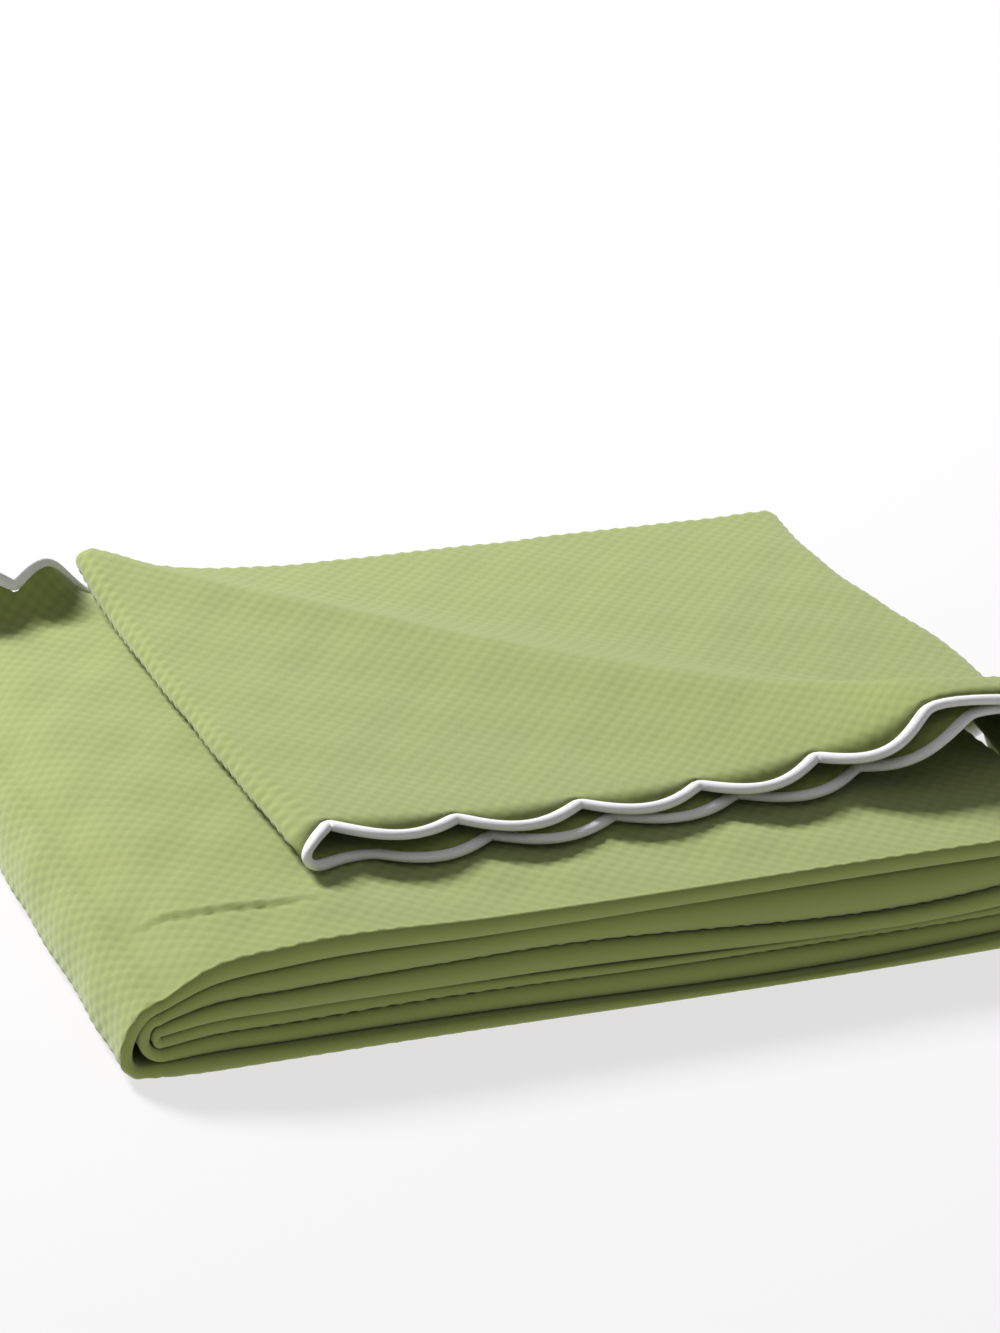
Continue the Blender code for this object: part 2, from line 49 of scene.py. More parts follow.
# Cloth and piping, as in the CAD model
PLY = 2.3 * MM
BAND_GAP = 0.8 * MM
LEAST_HOLLOW = 0.6 * MM
PIPING_RADIUS = 2.1 * MM
SEAM_GAP = 0.3 * MM
SCALLOP_PITCH = 50.8 * MM
SCALLOP_DEPTH = 13.5 * MM
SCALLOP_STEPS = 24
BINDING_WIDTH = 5.6 * MM
BINDING_THICKNESS = 3.7 * MM

# Pack of six bands
PACK_DEPTH = 386 * MM
PANEL_X = np.array((16, 32, 66, 142, 346, 380)) * MM
# Height of each band, counted from the top, at the places of PANEL_X
BAND_HEIGHT = {
    1: (5.0, 7.6, 8.7, 7.6, 7.1, 7.2),
    2: (4.8, 6.8, 9.1, 9.0, 13.4, 8.8),
    3: (4.6, 6.0, 7.2, 9.5, 6.9, 8.8),
    4: (4.8, 5.4, 6.1, 4.4, 3.7, 4.8),
    5: (5.4, 6.5, 6.8, 8.2, 7.9, 7.0),
    6: (5.9, 6.2, 5.7, 4.9, 4.6, 7.0),
}
# How far each band's front fold lies back, and the length of its wave along the front
BAND_FRONT = {1: (1.0, 300), 2: (2.0, 210), 3: (1.0, 260), 4: (2.6, 180), 5: (1.2, 240), 6: (-2.6, 330)}
FRONT_WAVE = 0.9 * MM
FRONT_CALM_LEFT = 40 * MM
FRONT_CALM_RIGHT = 30 * MM
PANEL_START = 16 * MM
PANEL_END = 388 * MM
# Reach in millimetres, skew, and millimetres of thinning of each turn at the left
LEFT_TURN = {(4, 3): (3.0, 1.0, 1.2), (2, 5): (7.4, 1.0, 0.9), (6, 1): (14.0, 1.84, 0.6)}

# Hem of the top ply at the back, which curls up at the left
BACK_HEM_CUSP = 4.0 * MM
BACK_HEM_OPEN = 389 * MM
BACK_HEM_COVERED = 371 * MM
BACK_HEM_CHANGE = (95 * MM, 135 * MM)
BACK_PIPING_END = 380 * MM
BACK_HEM_RISE = (6 * MM, 34 * MM)
CURL_START = 362 * MM
CURL_REACH = 40 * MM
CURL_ANGLE = radians(86)
CURL_FADE_LEFT = (8 * MM, 34 * MM)
CURL_FADE_RIGHT = (60 * MM, 94 * MM)

# Flap: X of the right shoulder along Y, and the lines of its hems, as pairs of millimetres
SHOULDER = ((60, 391), (78, 392), (110, 402), (145, 410), (321, 411), (370, 416), (390, 419))
FOLD_EDGE = 87.5 * MM
FOLD_REACH = 6.5 * MM
LOOP_REACH = 7.5 * MM
LOOP_LENGTH = 55 * MM
LOWER_HEM = ((116, 70), (164, 71), (215, 73), (268, 77), (321, 78), (370, 77))
UPPER_HEM = ((101, 78), (151, 73), (202, 75), (252, 76), (302, 77), (350, 76))
FLAP_BACK = 387 * MM
TIP_BACK = 15 * MM
TIP_WIDTH = 34 * MM
TIP_RISE = (330 * MM, 405 * MM)
REST_HEIGHT = 46.2 * MM
PLY_PITCH = 3.2 * MM
HEM_EXTRA = 1.6 * MM
HEM_EXTRA_WIDTH = 30 * MM
ROLL_EXTRA = 5.6 * MM
ROLL_WIDTH = 78 * MM
ROLL_LENGTH = 130 * MM
ROLL_LEAST = 0.45
HEM_Y = 78 * MM
# Ridge across the flap: X, Y and height in millimetres
RIDGE = (
    (84, 412, 12.5), (136, 345, 10.0), (174, 303, 9.5), (223, 245, 9.0), (275, 186, 9.5),
    (330, 122, 15.5), (352, 95, 23.0), (392, 80, 23.5), (440, 70, 22.0),
)
RIDGE_SLANT = 0.62
RIDGE_FRONT_WIDTH = 70 * MM
RIDGE_BACK_WIDTH = 22 * MM
RIDGE_CREST = 4 * MM
SHARP_FRONT_WIDTH = 46 * MM
SHARP_BACK_WIDTH = 15 * MM
RIDGE_SOFTENS = (190 * MM, 330 * MM)
LIFT_START = 268 * MM
LIFT_END = 386 * MM
LOWER_LIFT = 0.92
TIP_LIFT = 7.5 * MM
TURN_SHARE = 0.4
LEAST_REACH = 2 * MM
MOST_REACH = 9 * MM
OVER_LENGTH = 40 * MM
OVER_HEM = 20 * MM
OVER_RIM = 12 * MM
HIDDEN_CUSP = 1.25
CORNER_CUSP = 14.5 * MM
CORNER_RADIUS = 24 * MM
CORNER_BULGE = 4 * MM
RIM_INSET = 6 * MM
RIM_LINE = 2.5 * MM
RIM_OVER = 4 * MM
FIRST_STATIONS = (0.5, 0.75)
FOLD_STEPS = 24

# Weave: raised diamonds, their size along and across the cloth, and how they fade at folds and edges
DIAMOND_U = 7.5 * MM
DIAMOND_V = 9.0 * MM
DIAMOND_HEIGHT = 0.38 * MM
HEM_CALM = 6 * MM
CREASE_PUFF = 0.12
ARC_PUFF = (35, 85)
LOWER_CALM = 12 * MM

# Slow unevenness of the cloth: height, lengths along and across in millimetres, and start
SLOW_WAVES = ((0.30, 88, 61, 0.4), (0.22, -53, 97, 1.9), (0.14, 34, -47, 3.1))
WAVES_START = 30 * MM
FLAP_WAVES_START = (78 * MM, 120 * MM)
FLAP_WAVES = 0.6

# Front folds: how round they are, and how far they swell past the CAD model's
FRONT_FLATTEN = 0.72
VISUAL_SWELL = 0.26 * MM
SWELL_LENGTH = 10 * MM

# Steps of the meshes
BAND_STEP = 3.0 * MM
FINE_STEP = 1.9 * MM
TAIL_STEPS = 14
BAND_TAIL = (0.5, 1.0)
INNER_TAIL = (0.35, 0.7, 1.0)
BAND_ROWS = (0.0, 0.006, 0.014, 0.026, 0.045, 0.075, 0.13, 0.22, 0.36, 0.55, 0.78, 1.0)
TOP_ROWS = 176
UNDER_ROWS = (0.0, 0.012, 0.03, 0.06, 0.12, 0.3, 0.6, 1.0)
FRONT_ARC = range(75, -76, -15)

# Faces of the flap: side, step along the cloth, and columns from the hem to the back
FLAP_FACES = ((1, FINE_STEP, 150), (-1, BAND_STEP, 100))

# Flat coordinates: how much larger than metres they are, and the table of lengths along the flap
UV_SCALE = 10.0
FLAT_TABLE_S = np.linspace(0.0, 6.2, 1241)
FLAT_TABLE_Y = 200 * MM

# Soft crease on the pack's top, near its front edge
CREASE = ((20, 59.5), (24, 57.6), (32, 53.8), (40, 49.0), (54, 44.9), (68, 41.4), (87, 38.7))
CREASE_DEPTH = 1.5 * MM
CREASE_STEP = 1.0 * MM
CREASE_FADE = 5.0 * MM
CREASE_STARTS = (18 * MM, 30 * MM)
CREASE_ENDS = (66 * MM, 96 * MM)
DIP_DEPTH = 0.35
DIP_PLACE = 2.5 * CREASE_STEP
DIP_WIDTH = 2.2 * CREASE_STEP

# Piping: it starts a few points along the hem, out of sight
PIPING_SKIP = 4
PIPING_SIDES = 18
PIPING_SWELL = 0.03
PIPING_SWELL_LENGTH = 7 * MM
SMOOTH_TIMES = 4

# Colours
# The groove colour is painted shade in the grooves between the diamonds, and the raised colour is painted
# light on the raised diamonds
CLOTH_GROOVE_PAINTED_SHADE = (0.225, 0.27, 0.062, 1)
CLOTH_RAISED_PAINTED_LIGHT = (0.295, 0.34, 0.092, 1)
CLOTH_CLOUD = (0.225, 0.295, 0.078, 1)
CLOTH_SPECK = (0.33, 0.38, 0.15, 1)
CLOTH_SHEEN = (0.95, 1.0, 0.82, 1)
PIPING_LIGHT = (0.90, 0.89, 0.92, 1)
PIPING_SHADE = (0.80, 0.79, 0.83, 1)
FLOOR_COLOUR = (0.20, 0.198, 0.20, 1)
FLOOR_GLOW = (1.0, 0.985, 0.995, 1)
FLOOR_GLOW_STRENGTH = 0.70

# Threads of the cloths, and where the painted shade and painted light of the diamonds fade in behind a
# front fold
THREAD_U = 0.9 * MM
THREAD_V = 0.8 * MM
PAINTED_SHADE_START = 4 * MM
PAINTED_SHADE_FADE = 12 * MM

# Light and camera
WORLD_STRENGTH = 0.26
KEY_PLACE = (-1.0, 2.4, 1.9)
KEY_SIZE = 0.9
KEY_POWER = 190
FLOOR_SIZE = 12
CAMERA_PLACE = (-0.5117, -1.4105, 0.614)
CAMERA_DOWN = 20.19
CAMERA_RIGHT = 20.06
CAMERA_LENS = 104.3
SENSOR = 36


def smoothstep(low, high, value):
    t = np.clip((value - low) / (high - low), 0.0, 1.0)
    return t * t * (3 - 2 * t)


def rounded(xs, ys, x):
    """A curve through the points (xs, ys) without corners, level with the first and last points."""
    x = np.clip(x, xs[0], xs[-1])
    slopes = np.gradient(ys, xs)
    i = np.clip(np.searchsorted(xs, x, side="right") - 1, 0, len(xs) - 2)
    width = xs[i + 1] - xs[i]
    t = (x - xs[i]) / width
    start = ys[i] * (1 + 2 * t) * (1 - t) ** 2 + slopes[i] * width * t * (1 - t) ** 2
    return start + ys[i + 1] * t * t * (3 - 2 * t) + slopes[i + 1] * width * t * t * (t - 1)


def table(rows, column, at):
    """Read a column of a short table of millimetres at places given in metres."""
    data = np.array(rows, dtype=float) * MM
    return rounded(data[:, 0], data[:, column], at)


# The weave and the small unevenness of the cloth

def diamonds(u, v):
    return DIAMOND_HEIGHT * np.cos(2 * pi * u / DIAMOND_U) * np.cos(2 * pi * v / DIAMOND_V)


def slow_waves(u, v):
    """A slow, shallow unevenness, as of cloth that has been folded by hand."""
    total = 0.0
    for height, along, across, start in SLOW_WAVES:
        total = total + height * MM * np.sin(2 * pi * (u / (along * MM) + v / (across * MM)) + start)
    return total


# The doubled strip

def band_height(band, x):
    return rounded(PANEL_X, np.array(BAND_HEIGHT[band]) * MM, x)


def band_centre(band, x):
    below = sum(band_height(other, x) for other in BAND_HEIGHT if other > band)
    return below + (band_height(band, x) - BAND_GAP) / 2


def band_front(band, x):
    setback, wave = BAND_FRONT[band]
    calm = smoothstep(0, FRONT_CALM_LEFT, x) * smoothstep(0, FRONT_CALM_RIGHT, PANEL_END - x)
    return (setback * MM + FRONT_WAVE * np.sin(2 * pi * x / (wave * MM) + band)) * calm


def panel(band, heading, step, start=PANEL_START, end=PANEL_END):
    """The stations of one band, along X or back."""
    x = np.linspace(start, end, int(round((end - start) / step)) + 1)[::heading]
    return {
        "x": x, "z": band_centre(band, x), "side_x": 0 * x, "side_z": 0 * x + heading,
        "front": band_front(band, x), "thick": band_height(band, x) - BAND_GAP, "top": 0 * x + (band == 1),
    }


def turn(first, second, x, reach, skew, thin, steps):
    """The stations between two bands, round a half turn that reaches beyond x."""
    low, high = (first, second) if first > second else (second, first)
    z_low, z_high = band_centre(low, x), band_centre(high, x)
    thick = (band_height(first, x) - BAND_GAP, band_height(second, x) - BAND_GAP)
    share = np.arange(1, steps) / steps
    angle = pi * share
    climb = angle if low == first else pi - angle
    risen = (1 - np.cos(climb)) / 2
    along_x = reach * np.cos(angle)
    along_z = (z_high - z_low) * skew * risen ** (skew - 1) * np.sin(climb) / 2
    if low != first:
        along_z = -along_z
    length = np.hypot(along_x, along_z)
    return {
        "x": x + reach * np.sin(angle), "z": z_low + (z_high - z_low) * risen ** skew,
        "side_x": -along_z / length, "side_z": along_x / length, "front": 0 * share,
        "thick": thick[0] + (thick[1] - thick[0]) * share - thin * np.sin(angle), "top": 0 * share,
    }


def left_turn(first, second, steps):
    reach, skew, thin = LEFT_TURN[(first, second)]
    return turn(first, second, PANEL_START, -reach * MM, skew, thin * MM, steps)


def right_turn(first, second, steps):
    reach = abs(band_centre(first, PANEL_END) - band_centre(second, PANEL_END)) / 2
    return turn(first, second, PANEL_END, reach, 1.0, 0.0, steps)


def strip(*parts):
    """One run of stations, with the length along the plus side's cloth in u."""
    run = {key: np.concatenate([part[key] for part in parts]) for key in parts[0]}
    x = run["x"] + run["side_x"] * run["thick"] / 2
    z = run["z"] + run["side_z"] * run["thick"] / 2
    run["u"] = np.concatenate(([0.0], np.cumsum(np.hypot(np.diff(x), np.diff(z)))))
    return run


def cusp_line(run):
    covered = smoothstep(*BACK_HEM_CHANGE, run["x"])
    line = BACK_HEM_OPEN + (BACK_HEM_COVERED - BACK_HEM_OPEN) * covered
    return np.where(run["top"] > 0, line, PACK_DEPTH)


def back_edge(run):
    """Y along the cloth of the plus ply's back edge, scalloped on the top band."""
    x = run["x"]
    scallop = SCALLOP_DEPTH * np.abs(np.sin(pi * (x - BACK_HEM_CUSP) / SCALLOP_PITCH))
    blend = smoothstep(*BACK_HEM_RISE, x) * run["top"]
    return PACK_DEPTH + (cusp_line(run) + scallop - PACK_DEPTH) * blend


def ply_thickness(run):
    return np.minimum(PLY, (run["thick"] - LEAST_HOLLOW) / 2)


def plus_frame(run, along):
    """Middle of the plus ply at a length along the cloth, and its tilt where the hem curls up."""
    middle = (run["thick"] - ply_thickness(run)) / 2
    strength = smoothstep(*CURL_FADE_LEFT, run["x"]) * (1 - smoothstep(*CURL_FADE_RIGHT, run["x"]))
    bend = CURL_ANGLE * strength * run["top"] / CURL_REACH
    flat = (bend < 1e-6) | (along <= CURL_START)
    safe = np.where(bend < 1e-6, 1.0, bend)
    tilt = np.where(flat, 0.0, safe * (along - CURL_START))
    y = np.where(flat, along, CURL_START + np.sin(tilt) / safe)
    return y, middle + np.where(flat, 0.0, (1 - np.cos(tilt)) / safe), tilt


def crease_groove(x, y):
    """A soft crease across the top: a low lip, steep towards the front and fading to the back."""
    fade = smoothstep(*CREASE_STARTS, x) * (1 - smoothstep(*CREASE_ENDS, x))
    away = y - table(CREASE, 1, x)
    lip = smoothstep(-CREASE_STEP, CREASE_STEP, away) * np.exp(-np.maximum(away, 0) / CREASE_FADE)
    dip = DIP_DEPTH * np.exp(-((away + DIP_PLACE) / DIP_WIDTH) ** 2)
    return CREASE_DEPTH * fade * (lip - dip)


def strip_ring(run, plus_rows, inner_skip, with_crease):
    """Closed sections of the doubled strip, as points and flat coordinates. They go along the plus
    ply's outer face to the front, round the front fold, back under the minus ply, and home inside."""
    thick, x = run["thick"][:, None], run["x"][:, None]
    wide = {key: value[:, None] for key, value in run.items()}
    half, ply = thick / 2, ply_thickness(run)[:, None]
    hollow = half - ply
    nose = half * FRONT_FLATTEN
    crease = wide["front"] + nose
    tail = np.arange(1, TAIL_STEPS + 1) / TAIL_STEPS if run["top"].any() else np.array(BAND_TAIL)
    minus_rows = np.array(UNDER_ROWS)
    u = wide["u"]

    def along_rows(rows, tail_shares):
        start = crease + (CURL_START - crease) * rows
        end = CURL_START + (back_edge(run)[:, None] - CURL_START) * tail_shares
        return np.concatenate((start, end), axis=1)

    def plus_side(along, face):
        y, offset, tilt = plus_frame(wide, along)
        y = y - face * ply / 2 * np.sin(tilt)
        offset = offset + face * ply / 2 * np.cos(tilt)
        return y, offset, -face * np.sin(tilt), face * np.cos(tilt)

    blocks = []
    outer = along_rows(plus_rows, tail)[:, ::-1]
    y, offset, normal_y, normal_o = plus_side(outer, 1)
    nose_rise = VISUAL_SWELL * np.exp(-(np.maximum(outer - crease, 0) / SWELL_LENGTH) ** 2)
    edge_fade = smoothstep(0, HEM_CALM, back_edge(run)[:, None] - outer)
    rise = diamonds(u, outer) * edge_fade + slow_waves(u, outer) * smoothstep(0, WAVES_START, outer)
    rise = rise + nose_rise * (1 - wide["top"])
    if with_crease:
        rise = rise + crease_groove(x, outer) * wide["top"]
    blocks.append((y, offset, normal_y, normal_o, rise, outer))
    arc = np.array(FRONT_ARC)
    turns = np.radians(arc)[None, :]
    flat_v = crease - half * (pi / 2 - turns)
    puff = CREASE_PUFF + (1 - CREASE_PUFF) * smoothstep(*ARC_PUFF, arc)[None, :]
    bump = diamonds(u, flat_v) * puff + VISUAL_SWELL
    fold_y, fold_offset = crease - nose * np.cos(turns), half * np.sin(turns)
    blocks.append((fold_y, fold_offset, -np.cos(turns), np.sin(turns), bump, flat_v))
    minus = crease + (PACK_DEPTH - crease) * minus_rows
    one = np.ones_like(minus)
    minus_v = crease - half * pi - (minus - crease)
    fade = np.exp(-((minus - crease) / LOWER_CALM))
    minus_rise = (diamonds(u, minus_v) * CREASE_PUFF + VISUAL_SWELL) * fade
    blocks.append((minus, -half * one, 0 * one, -one, minus_rise, minus_v))
    back = minus[:, ::-1]
    blocks.append((back, -hollow * one, 0 * one, one, 0 * one, minus_v[:, ::-1]))
    pocket = crease - hollow
    zero = 0 * pocket
    blocks.append((pocket, zero, zero - 1, zero, zero, pocket))
    inner = along_rows(plus_rows[::inner_skip], np.array(INNER_TAIL))
    y, offset, normal_y, normal_o = plus_side(inner, -1)
    blocks.append((y, offset, normal_y, normal_o, 0 * y, inner))
    y, offset, normal_y, normal_o, rise, flat_v = (
        np.concatenate([np.broadcast_to(block[k], (len(x), block[0].shape[1])) for block in blocks], axis=1)
        for k in range(6))
    y = y + normal_y * rise
    offset = offset + normal_o * rise
    points = np.stack((x + offset * wide["side_x"], y, wide["z"] + offset * wide["side_z"]), axis=-1)
    points[..., 2] = np.maximum(points[..., 2], 0.0)
    flat = np.stack((np.broadcast_to(u, y.shape), flat_v), axis=-1)
    return points, flat


# The flap

def shoulder(y):
    return table(SHOULDER, 1, y)


def fold_reach(y):
    """How far the left fold bulges: more where the hem rolls round in a loop."""
    return FOLD_REACH + LOOP_REACH * np.exp(-((y - HEM_Y) / LOOP_LENGTH) ** 2)


def fold_x(y):
    return FOLD_EDGE + fold_reach(y)


def ridge_lift(x, y):
    """How high the ridge lifts the flap's top ply: sharp at the left, soft at the right."""
    away = (y - table(RIDGE, 1, x)) * RIDGE_SLANT
    soft = np.exp(-(away / np.where(away > 0, RIDGE_BACK_WIDTH, RIDGE_FRONT_WIDTH)) ** 2)
    past = np.sqrt(away ** 2 + RIDGE_CREST ** 2) - RIDGE_CREST
    sharp = np.exp(-past / np.where(away > 0, SHARP_BACK_WIDTH, SHARP_FRONT_WIDTH))
    return table(RIDGE, 2, x) * (sharp + (soft - sharp) * smoothstep(*RIDGE_SOFTENS, x))


def tip_share(x, y):
    return np.exp(-((x - FOLD_EDGE) / TIP_WIDTH) ** 2) * smoothstep(*TIP_RISE, y)


def lower_height(x, y):
    lift = LOWER_LIFT * ridge_lift(x, y) * smoothstep(LIFT_START, LIFT_END, x)
    return REST_HEIGHT + lift + TIP_LIFT * tip_share(x, y)


def upper_height(x, y):
    near_hem = np.exp(-((y - HEM_Y) / HEM_EXTRA_WIDTH) ** 2)
    towards_hem = ROLL_LEAST + (1 - ROLL_LEAST) * np.exp(-((y - HEM_Y) / ROLL_LENGTH) ** 2)
    roll = ROLL_EXTRA * np.exp(-((x - FOLD_EDGE) / ROLL_WIDTH) ** 2) * towards_hem
    return REST_HEIGHT + PLY_PITCH + HEM_EXTRA * near_hem + roll + ridge_lift(x, y)


def top_ply_height():
    thick = band_height(1, np.array(PANEL_END)) - BAND_GAP
    return band_centre(1, np.array(PANEL_END)) + (thick - min(PLY, (thick - LEAST_HOLLOW) / 2)) / 2


def flap_point(s, y):
    """The middle of the flap's cloth. s counts its stretches: under, right turn, lower ply, left
    fold, upper ply and the part that hangs over the right side."""
    s, y = np.broadcast_arrays(np.asarray(s, dtype=float), np.asarray(y, dtype=float))
    right = shoulder(y)
    base = top_ply_height()
    low, high = lower_height(right, y), upper_height(right, y)
    turn_reach = np.clip((low - base) * TURN_SHARE, LEAST_REACH, MOST_REACH)
    first = pi * (s - 1)
    third = pi * (s - 3)
    left, bulge = fold_x(y), fold_reach(y)
    x_lower = right + (left - right) * (s - 2)
    x_upper = left + (right - left) * (s - 4)
    near, far = lower_height(left, y), upper_height(left, y)
    reach = turn_reach + np.maximum(high - low, PLY_PITCH)
    centre = (base + low) / 2
    rise = high - centre
    quarter = pi / 2 * np.sqrt((reach ** 2 + rise ** 2) / 2)
    length = (s - 5) * OVER_LENGTH
    over = pi / 2 * length / quarter
    cases = [s < 1, s < 2, s < 3, s < 4, s < 5, length < quarter]
    x = np.select(cases, [
        PANEL_END + (right - PANEL_END) * s, right + turn_reach * np.sin(first), x_lower,
        left - bulge * np.sin(third), x_upper, right + reach * np.sin(over)], right + reach)
    z = np.select(cases, [
        base + 0 * s, base + (low - base) * (1 - np.cos(first)) / 2, lower_height(x_lower, y),
        near + (far - near) * (1 - np.cos(third)) / 2, upper_height(x_upper, y),
        centre + rise * np.cos(over)], centre - (length - quarter))
    return np.stack((x, y, z), axis=-1)


def flap_normal(s, y):
    step_s, step_y = 0.004, 0.2 * MM
    along = flap_point(s + step_s, y) - flap_point(np.maximum(s - step_s, 0), y)
    across = flap_point(s, y + step_y) - flap_point(s, y - step_y)
    normal = np.cross(along, across)
    return normal / np.linalg.norm(normal, axis=-1)[..., None]


def hem_place(x, upper):
    share = (x - fold_x(HEM_Y)) / (shoulder(HEM_Y) - fold_x(HEM_Y))
    return 4 + share if upper else 3 - share


def hem_line(s):
    """Y of the hem's cusps along the flap."""
    s = np.asarray(s, dtype=float)
    left, right = fold_x(HEM_Y), shoulder(HEM_Y)
    start, end = LOWER_HEM[0][1] * MM, UPPER_HEM[0][1] * MM
    lower = table(LOWER_HEM, 1, left + (right - left) * np.clip(3 - s, 0, 1))
    upper = table(UPPER_HEM, 1, left + (right - left) * np.clip(s - 4, 0, 1))
    return np.select([s < 3, s < 4], [lower, start + (end - start) * (s - 3)], upper)


def flap_back(s):
    x = flap_point(s, FLAP_BACK)[..., 0]
    return FLAP_BACK + TIP_BACK * np.exp(-((x - FOLD_EDGE) / TIP_WIDTH) ** 2)


def cusp_places():
    lower = [float(hem_place(x * MM, False)) for x, _ in LOWER_HEM]
    upper = [float(hem_place(x * MM, True)) for x, _ in UPPER_HEM]
    return [HIDDEN_CUSP] + lower[::-1] + upper + [5 + CORNER_CUSP / OVER_LENGTH]


def flap_outline():
    """The hem as rows of (stretch, Y, order) and the line just behind its cusps, in the same steps."""
    cusps = cusp_places()
    outline = [(s, float(hem_line(s)), s) for s in (*FIRST_STATIONS, 1.0)]
    for first, second in zip(cusps, cusps[1:]):
        for t in np.arange(SCALLOP_STEPS) / SCALLOP_STEPS:
            s = first + (second - first) * t
            outline.append((s, float(hem_line(s)) - SCALLOP_DEPTH * np.sin(pi * t), s))
    rim = [(s, float(hem_line(s)) + RIM_LINE) for s, _, _ in outline]
    corner_s, line = cusps[-1], float(hem_line(5))
    end_s = 5 + OVER_HEM / OVER_LENGTH
    over_s = end_s - RIM_OVER / OVER_LENGTH
    first_cusp = line + CORNER_RADIUS
    corner_steps = SCALLOP_STEPS // 2
    for t in np.arange(corner_steps) / corner_steps:
        y = line + CORNER_RADIUS * (1 - np.sqrt(1 - t * t)) - CORNER_BULGE * np.sin(pi * t)
        outline.append((corner_s + (end_s - corner_s) * np.sin(pi / 2 * t), y, 5.4 + t / 2))
        rim.append((corner_s + (over_s - corner_s) * t, line + RIM_LINE + (CORNER_RADIUS - RIM_LINE) * t))
    count = int((FLAP_BACK - first_cusp) / SCALLOP_PITCH * SCALLOP_STEPS)
    for y in np.linspace(first_cusp, FLAP_BACK, count + 1):
        depth = SCALLOP_DEPTH * abs(np.sin(pi * (y - first_cusp) / SCALLOP_PITCH))
        outline.append((end_s + depth / OVER_LENGTH, y, 6 + y))
        rim.append((over_s, y))
    return np.array(outline), np.array(rim)


def flap_stations(step):
    """Stretch numbers along the flap, about one step apart."""
    reach = shoulder(HEM_Y) - fold_x(HEM_Y)
    count = int(round(float(reach) / step))
    turns = np.linspace(1, 2, FOLD_STEPS + 1)
    lower = np.linspace(2, 3, count + 1)[1:-1]
    fold = np.linspace(3, 4, FOLD_STEPS + 1)
    upper = np.linspace(4, 5, count + 1)[1:-1]
    over = 5 + np.linspace(0, OVER_RIM, max(int(round(OVER_RIM / step)), 2) + 1) / OVER_LENGTH
    return np.concatenate((FIRST_STATIONS, turns, lower, fold, upper, over))


def flat_table():
    """Length along the flap's cloth at each stretch number of the table, in the middle of the flap."""
    middle = flap_point(FLAT_TABLE_S, FLAT_TABLE_Y)
    steps = np.linalg.norm(np.diff(middle, axis=0), axis=1)
    return np.concatenate(([0.0], np.cumsum(steps)))


FLAT_TABLE_U = flat_table()


def flat_u(s):
    return np.interp(s, FLAT_TABLE_S, FLAT_TABLE_U)


def flap_surface(s, y, face):
    """A face of the flap's cloth with its diamonds, and its flat coordinates."""
    u = flat_u(s)
    rise = diamonds(u, y) * face + slow_waves(u, y) * smoothstep(*FLAP_WAVES_START, y) * FLAP_WAVES
    points = flap_point(s, y) + flap_normal(s, y) * (face * PLY / 2 + rise)[..., None]
    return points, np.stack((u, y + 0 * u), axis=-1)


# Mesh building

class Builder:
    """Collects points with flat coordinates, and faces."""

    def __init__(self):
        self.points, self.flat, self.faces, self.count = [], [], [], 0

    def add(self, points, flat):
        points = np.asarray(points, dtype=float)
        shape = points.shape[:-1]
        ids = np.arange(self.count, self.count + int(np.prod(shape))).reshape(shape)
        self.points.append(points.reshape(-1, 3))
        self.flat.append(np.asarray(flat, dtype=float).reshape(-1, 2))
        self.count += ids.size
        return ids

    def quads(self, ids):
        a, b, c, d = ids[:-1, :-1], ids[:-1, 1:], ids[1:, 1:], ids[1:, :-1]
        self.faces.extend(np.stack((a, b, c, d), axis=-1).reshape(-1, 4).tolist())

    def zip_rows(self, first, first_order, second, second_order):
        """Triangles between two rows of different lengths, taken in the order of their places."""
        i = j = 0
        while i < len(first) - 1 or j < len(second) - 1:
            step_first = j == len(second) - 1 or (
                i < len(first) - 1 and first_order[i + 1] <= second_order[j + 1])
            if step_first:
                self.faces.append([first[i], first[i + 1], second[j]])
                i += 1
            else:
                self.faces.append([first[i], second[j + 1], second[j]])
                j += 1

    def make(self, name, material):
        mesh = bpy.data.meshes.new(name)
        points = np.concatenate(self.points) - SHIFT
        mesh.from_pydata(points.tolist(), [], [[int(i) for i in face] for face in self.faces])
        mesh.update()
        layer = mesh.uv_layers.new(name="flat")
        loops = np.empty(len(mesh.loops), dtype=np.int32)
        mesh.loops.foreach_get("vertex_index", loops)
        flat = np.concatenate(self.flat) * UV_SCALE
        layer.data.foreach_set("uv", flat[loops].astype(np.float32).ravel())
        mesh.shade_smooth()
        mesh.materials.append(material)
        piece = bpy.data.objects.new(name, mesh)
        bpy.context.scene.collection.objects.link(piece)
        face_outwards(mesh)
        return piece


def face_outwards(mesh):
    bm = bmesh.new()
    bm.from_mesh(mesh)
    bmesh.ops.recalc_face_normals(bm, faces=bm.faces)
    bm.to_mesh(mesh)
    bm.free()


def close_ring(builder, ids):
    """Join the sections of a closed strip and cap its two ends."""
    builder.quads(np.concatenate((ids, ids[:, :1]), axis=1))
    builder.faces.append(ids[0].tolist())
    builder.faces.append(ids[-1].tolist())


def strip_piece(name, run, plus_rows, inner_skip, with_crease, material):
    builder = Builder()
    close_ring(builder, builder.add(*strip_ring(run, plus_rows, inner_skip, with_crease)))
    return builder.make(name, material)


